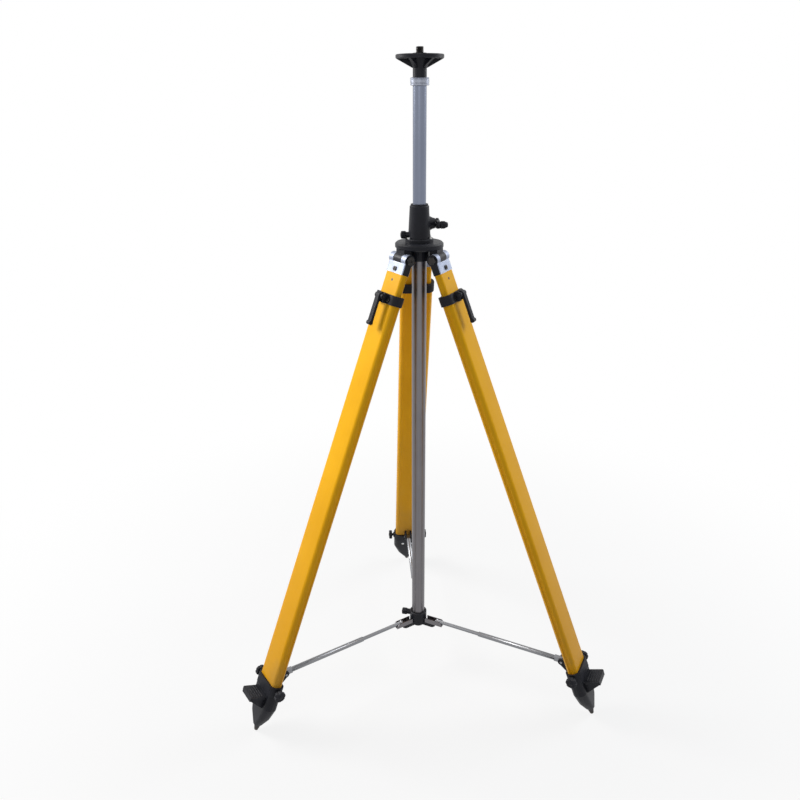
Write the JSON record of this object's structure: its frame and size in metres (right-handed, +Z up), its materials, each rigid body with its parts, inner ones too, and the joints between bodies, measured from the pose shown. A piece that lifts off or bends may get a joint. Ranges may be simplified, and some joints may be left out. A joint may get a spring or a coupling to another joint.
{
  "type": "elevating tripod",
  "caption": "Surveying tripod with splayed telescopic yellow legs, a geared crank column carrying a round instrument plate with a threaded stud, and a lower spreader with hooked struts.",
  "frame": {"origin": "centre of the footprint's bounding box, at the height of the spike tips; the column axis stands 109.2 mm in front of it, at -Y", "axes": "+Z up along the column, +Y towards the rear leg, +X to the right, where the crank is"},
  "size_m": [0.8546, 0.7463, 1.48],
  "materials": {
    "yellow_profile": "powder-coated yellow section",
    "black_casting": "satin black cast aluminium",
    "black_plastic": "matte black moulded plastic",
    "silver_tube": "clear anodised tube",
    "bare_casting": "bare die casting",
    "steel": "zinc-plated steel"
  },
  "bodies": {
    "head": {"head_casting": "black_casting", "gear_housing": "black_casting", "guide_tube": "silver_tube", "guide_bush": "black_plastic", "housing_screws": "steel", "leg_hinge_bolts": "steel", "spreader_hub": "black_casting", "strut_cradles": "black_casting"},
    "hub_knob": {"hub_clamp_knob": "black_plastic"},
    "column": {"column_tube": "silver_tube", "column_rack": "steel", "column_collar": "silver_tube", "mount_plate": "black_casting", "mount_stud": "steel"},
    "crank": {"drive_pinion": "steel", "crank_arm": "black_casting"},
    "crank_grip": {"crank_knob": "black_plastic"},
    "lock_knob": {"column_lock_knob": "black_plastic"},
    "leg_upper_1": {"hinge_bracket_1": "bare_casting", "bracket_screws_1": "steel", "inner_leg_1": "yellow_profile"},
    "leg_lower_1": {"outer_leg_1": "yellow_profile", "clamp_collar_1": "black_plastic", "collar_bolts_1": "steel", "foot_shoe_1": "black_casting", "foot_spike_1": "steel"},
    "lever_1": {"clamp_lever_1": "black_plastic"},
    "saddle_1": {"strut_saddle_1": "black_plastic"},
    "knob_a_1": {"saddle_knob_a_1": "black_plastic"},
    "knob_b_1": {"saddle_knob_b_1": "black_plastic"},
    "strut_1": {"strut_tube_1": "silver_tube"},
    "rod_1": {"strut_rod_1": "silver_tube"},
    "leg_upper_2": {"hinge_bracket_2": "bare_casting", "bracket_screws_2": "steel", "inner_leg_2": "yellow_profile"},
    "leg_lower_2": {"outer_leg_2": "yellow_profile", "clamp_collar_2": "black_plastic", "collar_bolts_2": "steel", "foot_shoe_2": "black_casting", "foot_spike_2": "steel"},
    "lever_2": {"clamp_lever_2": "black_plastic"},
    "saddle_2": {"strut_saddle_2": "black_plastic"},
    "knob_a_2": {"saddle_knob_a_2": "black_plastic"},
    "knob_b_2": {"saddle_knob_b_2": "black_plastic"},
    "strut_2": {"strut_tube_2": "silver_tube"},
    "rod_2": {"strut_rod_2": "silver_tube"},
    "leg_upper_3": {"hinge_bracket_3": "bare_casting", "bracket_screws_3": "steel", "inner_leg_3": "yellow_profile"},
    "leg_lower_3": {"outer_leg_3": "yellow_profile", "clamp_collar_3": "black_plastic", "collar_bolts_3": "steel", "foot_shoe_3": "black_casting", "foot_spike_3": "steel"},
    "lever_3": {"clamp_lever_3": "black_plastic"},
    "saddle_3": {"strut_saddle_3": "black_plastic"},
    "knob_a_3": {"saddle_knob_a_3": "black_plastic"},
    "knob_b_3": {"saddle_knob_b_3": "black_plastic"},
    "strut_3": {"strut_tube_3": "silver_tube"},
    "rod_3": {"strut_rod_3": "silver_tube"}
  },
  "joints": [
    {"name": "column_slide", "type": "slide", "parent": "head", "child": "column", "axis": [0, 0, 1], "range_m": [-0.225, 0.24]},
    {"name": "crank_turn", "type": "hinge", "parent": "head", "child": "crank", "pos_m": [0, -0.08836, 1.135], "axis": [1, 0, 0], "range_deg": [-1533, 1437]},
    {"name": "crank_grip_spin", "type": "hinge", "parent": "crank", "child": "crank_grip", "pos_m": [0.05, -0.11236, 1.135], "axis": [1, 0, 0], "continuous": true},
    {"name": "column_lock_turn", "type": "hinge", "parent": "head", "child": "lock_knob", "pos_m": [-0.03, -0.10921, 1.115], "axis": [-1, 0, 0], "range_deg": [0, 180]},
    {"name": "hub_lock_turn", "type": "hinge", "parent": "head", "child": "hub_knob", "pos_m": [-0.03381, -0.10015, 0.139], "axis": [-0.9659, 0.2588, 0], "range_deg": [0, 180]},
    {"name": "leg_fold_1", "type": "hinge", "parent": "head", "child": "leg_upper_1", "pos_m": [0, -0.06421, 1.068], "axis": [-1, 0, 0], "range_deg": [0, 17.01]},
    {"name": "leg_extend_1", "type": "slide", "parent": "leg_upper_1", "child": "leg_lower_1", "axis": [0, 0.3667, -0.9303], "range_m": [0, 0.65]},
    {"name": "lever_swing_1", "type": "hinge", "parent": "leg_lower_1", "child": "lever_1", "pos_m": [0, -0.0094, 0.99663], "axis": [1, 0, 0], "range_deg": [0, 110]},
    {"name": "saddle_slide_1", "type": "slide", "parent": "leg_lower_1", "child": "saddle_1", "axis": [0, -0.3667, 0.9303], "range_m": [0, 0.65]},
    {"name": "knob_a_turn_1", "type": "hinge", "parent": "saddle_1", "child": "knob_a_1", "pos_m": [-0.06, 0.31079, 0.11664], "axis": [-1, 0, 0], "range_deg": [0, 180]},
    {"name": "knob_b_turn_1", "type": "hinge", "parent": "saddle_1", "child": "knob_b_1", "pos_m": [0.06, 0.31079, 0.11664], "axis": [1, 0, 0], "range_deg": [0, 180]},
    {"name": "strut_swing_1", "type": "hinge", "parent": "saddle_1", "child": "strut_1", "pos_m": [0, 0.27334, 0.12983], "axis": [-1, 0, 0], "range_deg": [0, 68.99]},
    {"name": "rod_slide_1", "type": "slide", "parent": "strut_1", "child": "rod_1", "axis": [0, 1, 0], "range_m": [0, 0.11]},
    {"name": "leg_fold_2", "type": "hinge", "parent": "head", "child": "leg_upper_2", "pos_m": [-0.03897, -0.13171, 1.068], "axis": [0.5, -0.866, 0], "range_deg": [0, 17.01]},
    {"name": "leg_extend_2", "type": "slide", "parent": "leg_upper_2", "child": "leg_lower_2", "axis": [-0.3176, -0.1834, -0.9303], "range_m": [0, 0.65]},
    {"name": "lever_swing_2", "type": "hinge", "parent": "leg_lower_2", "child": "lever_2", "pos_m": [-0.08644, -0.15911, 0.99663], "axis": [-0.5, 0.866, 0], "range_deg": [0, 110]},
    {"name": "saddle_slide_2", "type": "slide", "parent": "leg_lower_2", "child": "saddle_2", "axis": [0.3176, 0.1834, 0.9303], "range_m": [0, 0.65]},
    {"name": "knob_a_turn_2", "type": "hinge", "parent": "saddle_2", "child": "knob_a_2", "pos_m": [-0.33373, -0.37117, 0.11664], "axis": [0.5, -0.866, 0], "range_deg": [0, 180]},
    {"name": "knob_b_turn_2", "type": "hinge", "parent": "saddle_2", "child": "knob_b_2", "pos_m": [-0.39373, -0.26724, 0.11664], "axis": [-0.5, 0.866, 0], "range_deg": [0, 180]},
    {"name": "strut_swing_2", "type": "hinge", "parent": "saddle_2", "child": "strut_2", "pos_m": [-0.3313, -0.30048, 0.12983], "axis": [0.5, -0.866, 0], "range_deg": [0, 68.99]},
    {"name": "rod_slide_2", "type": "slide", "parent": "strut_2", "child": "rod_2", "axis": [-0.866, -0.5, 0], "range_m": [0, 0.11]},
    {"name": "leg_fold_3", "type": "hinge", "parent": "head", "child": "leg_upper_3", "pos_m": [0.03897, -0.13171, 1.068], "axis": [0.5, 0.866, 0], "range_deg": [0, 17.01]},
    {"name": "leg_extend_3", "type": "slide", "parent": "leg_upper_3", "child": "leg_lower_3", "axis": [0.3176, -0.1834, -0.9303], "range_m": [0, 0.65]},
    {"name": "lever_swing_3", "type": "hinge", "parent": "leg_lower_3", "child": "lever_3", "pos_m": [0.08644, -0.15911, 0.99663], "axis": [-0.5, -0.866, 0], "range_deg": [0, 110]},
    {"name": "saddle_slide_3", "type": "slide", "parent": "leg_lower_3", "child": "saddle_3", "axis": [-0.3176, 0.1834, 0.9303], "range_m": [0, 0.65]},
    {"name": "knob_a_turn_3", "type": "hinge", "parent": "saddle_3", "child": "knob_a_3", "pos_m": [0.39373, -0.26724, 0.11664], "axis": [0.5, 0.866, 0], "range_deg": [0, 180]},
    {"name": "knob_b_turn_3", "type": "hinge", "parent": "saddle_3", "child": "knob_b_3", "pos_m": [0.33373, -0.37117, 0.11664], "axis": [-0.5, -0.866, 0], "range_deg": [0, 180]},
    {"name": "strut_swing_3", "type": "hinge", "parent": "saddle_3", "child": "strut_3", "pos_m": [0.3313, -0.30048, 0.12983], "axis": [0.5, 0.866, 0], "range_deg": [0, 68.99]},
    {"name": "rod_slide_3", "type": "slide", "parent": "strut_3", "child": "rod_3", "axis": [0.866, -0.5, 0], "range_m": [0, 0.11]}
  ],
  "couplings": [
    {"joint": "crank_turn", "follows": "column_slide", "rad_per_m": -111.11},
    {"joint": "strut_swing_1", "follows": "leg_fold_1", "ratio": 4.0265},
    {"joint": "rod_slide_1", "follows": "leg_fold_1", "m_per_rad": 0.36681},
    {"joint": "saddle_slide_1", "follows": "leg_extend_1", "ratio": 1},
    {"joint": "strut_swing_2", "follows": "leg_fold_2", "ratio": 4.0265},
    {"joint": "rod_slide_2", "follows": "leg_fold_2", "m_per_rad": 0.36681},
    {"joint": "saddle_slide_2", "follows": "leg_extend_2", "ratio": 1},
    {"joint": "strut_swing_3", "follows": "leg_fold_3", "ratio": 4.0265},
    {"joint": "rod_slide_3", "follows": "leg_fold_3", "m_per_rad": 0.36681},
    {"joint": "saddle_slide_3", "follows": "leg_extend_3", "ratio": 1}
  ]
}
